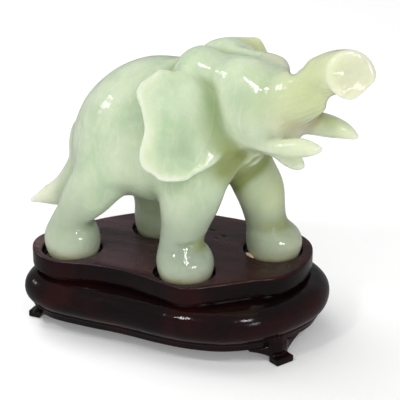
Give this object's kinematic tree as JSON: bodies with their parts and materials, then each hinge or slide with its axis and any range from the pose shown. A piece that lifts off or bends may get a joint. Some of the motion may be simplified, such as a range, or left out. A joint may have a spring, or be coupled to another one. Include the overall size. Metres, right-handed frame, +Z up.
{
  "type": "carved stone elephant on a wooden stand",
  "caption": "Carved and polished pale green stone elephant with raised trunk, standing in the foot sockets of a lobed dark lacquered wooden stand on bracket feet.",
  "frame": {"origin": "middle of the whole part's box, on the table that the bracket feet stand on", "axes": "+X the way the elephant's body faces, +Y to its left, +Z up"},
  "size_m": [0.1546, 0.0782, 0.1326],
  "materials": {
    "jade": "polished translucent",
    "dark_wood": "gloss lacquer",
    "pale_wood": "bare",
    "glue": "hardened"
  },
  "bodies": {
    "stand": {"top_board": "dark_wood", "waist_board": "dark_wood", "base_moulding": "dark_wood", "foot_front_right": "dark_wood", "foot_front_left": "dark_wood", "foot_rear_right": "dark_wood", "foot_rear_left": "dark_wood", "board_dowels": "pale_wood", "foot_pegs": "pale_wood", "glue_bead_dab": "glue"},
    "figure": {"jade_elephant": "jade"}
  },
  "joints": [
    {"name": "figure_lift", "type": "slide", "parent": "stand", "child": "figure", "axis": [0, 0, 1], "range_m": [0, 0.03]}
  ]
}
